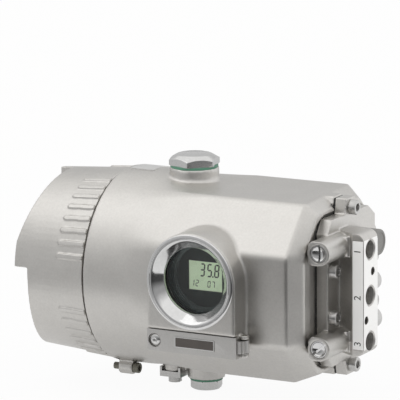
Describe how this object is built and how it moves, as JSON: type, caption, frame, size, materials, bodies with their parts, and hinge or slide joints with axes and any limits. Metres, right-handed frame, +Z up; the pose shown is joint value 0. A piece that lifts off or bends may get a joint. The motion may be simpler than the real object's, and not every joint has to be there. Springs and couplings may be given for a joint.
{
  "type": "valve positioner",
  "caption": "Flameproof valve positioner: octagonal cast steel housing with a lugged screw cap, round display window, hinged button flap, air connection block and rear feedback shaft.",
  "frame": {"origin": "middle of the four mounting holes, on the rear face", "axes": "+X along the housing's long axis from the screw cap towards the air connections, +Y out of the rear face along the feedback shaft, away from the display window, +Z up"},
  "size_m": [0.2489, 0.1719, 0.1638],
  "materials": {
    "cast_steel": "bead-blasted",
    "turned_steel": "machined, bright",
    "polished_steel": "polished",
    "seal_rubber": "matt",
    "seal_green": "matt",
    "plate_metal": "satin",
    "badge_dark": "satin",
    "window_glass": "clear",
    "lcd_glass": "glossy",
    "plastic_black": "matt",
    "plastic_pale": "matt",
    "gear_plastic": "matt",
    "board_green": "solder resist",
    "drawn_brass": "machined",
    "light_alloy": "machined"
  },
  "bodies": {
    "housing": {"housing": "cast_steel", "rating_plate": "plate_metal", "window_gasket": "seal_rubber", "window_glass": "window_glass", "bezel_ring": "polished_steel", "hinge_pin": "turned_steel", "button_springs": "turned_steel", "top_plug": "turned_steel", "top_plug_seal": "seal_green", "bottom_plug": "turned_steel", "bottom_plug_seal": "seal_green", "earth_clamp": "turned_steel", "earth_screw": "turned_steel", "connection_block": "cast_steel", "block_gasket": "seal_rubber", "block_screws": "turned_steel", "port_label": "plate_metal", "exhaust_silencer": "turned_steel", "gauge_port_plugs": "turned_steel", "shaft_bush": "drawn_brass", "potentiometer": "plastic_black", "display_lcd": "lcd_glass", "display_panel": "plastic_black", "display_shroud": "plastic_black", "display_module": "plastic_pale", "carrier": "light_alloy", "main_board": "board_green", "board_posts": "drawn_brass", "terminal_strip": "plastic_pale", "valve_block": "light_alloy", "pilot_valves": "plastic_pale", "display_board": "board_green", "display_posts": "drawn_brass", "key_switches": "plastic_black"},
    "cap_seal": {"cap_seal": "seal_rubber"},
    "screw_cap": {"screw_cap": "cast_steel"},
    "button_cover": {"button_cover": "cast_steel", "badge_plate": "badge_dark"},
    "cover_screw": {"cover_screw": "turned_steel"},
    "mode_button": {"mode_button": "turned_steel"},
    "down_button": {"down_button": "turned_steel"},
    "up_button": {"up_button": "turned_steel"},
    "feedback_shaft": {"feedback_shaft": "turned_steel", "shaft_gear": "gear_plastic", "clutch_wheel": "gear_plastic"},
    "pot_gear": {"pot_gear": "gear_plastic"},
    "upper_restrictor": {"upper_restrictor": "turned_steel"},
    "lower_restrictor": {"lower_restrictor": "turned_steel"},
    "cap_lock_screw": {"cap_lock_screw": "turned_steel"}
  },
  "joints": [
    {"name": "cap_travel", "type": "slide", "parent": "housing", "child": "cap_seal", "axis": [-1, 0, 0], "range_m": [0, 0.016]},
    {"name": "cap_turn", "type": "hinge", "parent": "cap_seal", "child": "screw_cap", "pos_m": [-0.0928, -0.0689, 0], "axis": [-1, 0, 0], "range_deg": [0, 2880]},
    {"name": "cover_swing", "type": "hinge", "parent": "housing", "child": "button_cover", "pos_m": [0.0368, -0.1471, -0.02925], "axis": [0, 0, 1], "range_deg": [0, 110]},
    {"name": "cover_screw_turn", "type": "hinge", "parent": "button_cover", "child": "cover_screw", "pos_m": [-0.0273, -0.1521, -0.03], "axis": [0, 1, 0], "continuous": true},
    {"name": "mode_button_press", "type": "slide", "parent": "housing", "child": "mode_button", "axis": [0, 1, 0], "range_m": [0, 0.0015], "stiffness_N_per_m": 800, "springref_m": -0.001},
    {"name": "down_button_press", "type": "slide", "parent": "housing", "child": "down_button", "axis": [0, 1, 0], "range_m": [0, 0.0015], "stiffness_N_per_m": 800, "springref_m": -0.001},
    {"name": "up_button_press", "type": "slide", "parent": "housing", "child": "up_button", "axis": [0, 1, 0], "range_m": [0, 0.0015], "stiffness_N_per_m": 800, "springref_m": -0.001},
    {"name": "shaft_turn", "type": "hinge", "parent": "housing", "child": "feedback_shaft", "pos_m": [-0.007, 0, -0.01], "axis": [0, 1, 0], "range_deg": [-50, 50]},
    {"name": "pot_turn", "type": "hinge", "parent": "housing", "child": "pot_gear", "pos_m": [-0.037, -0.0449, -0.01], "axis": [0, 1, 0], "range_deg": [-150, 150]},
    {"name": "upper_restrictor_turn", "type": "hinge", "parent": "housing", "child": "upper_restrictor", "pos_m": [0.0794, -0.1169, 0.0324], "axis": [0, 1, 0], "continuous": true},
    {"name": "lower_restrictor_turn", "type": "hinge", "parent": "housing", "child": "lower_restrictor", "pos_m": [0.0794, -0.1169, -0.0324], "axis": [0, 1, 0], "continuous": true},
    {"name": "lock_screw_turn", "type": "hinge", "parent": "housing", "child": "cap_lock_screw", "pos_m": [-0.082, -0.09121, -0.06867], "axis": [1, 0, 0], "continuous": true}
  ],
  "couplings": [
    {"joint": "cap_travel", "follows": "cap_turn", "m_per_rad": 0.00031831},
    {"joint": "pot_turn", "follows": "shaft_turn", "ratio": -2}
  ]
}
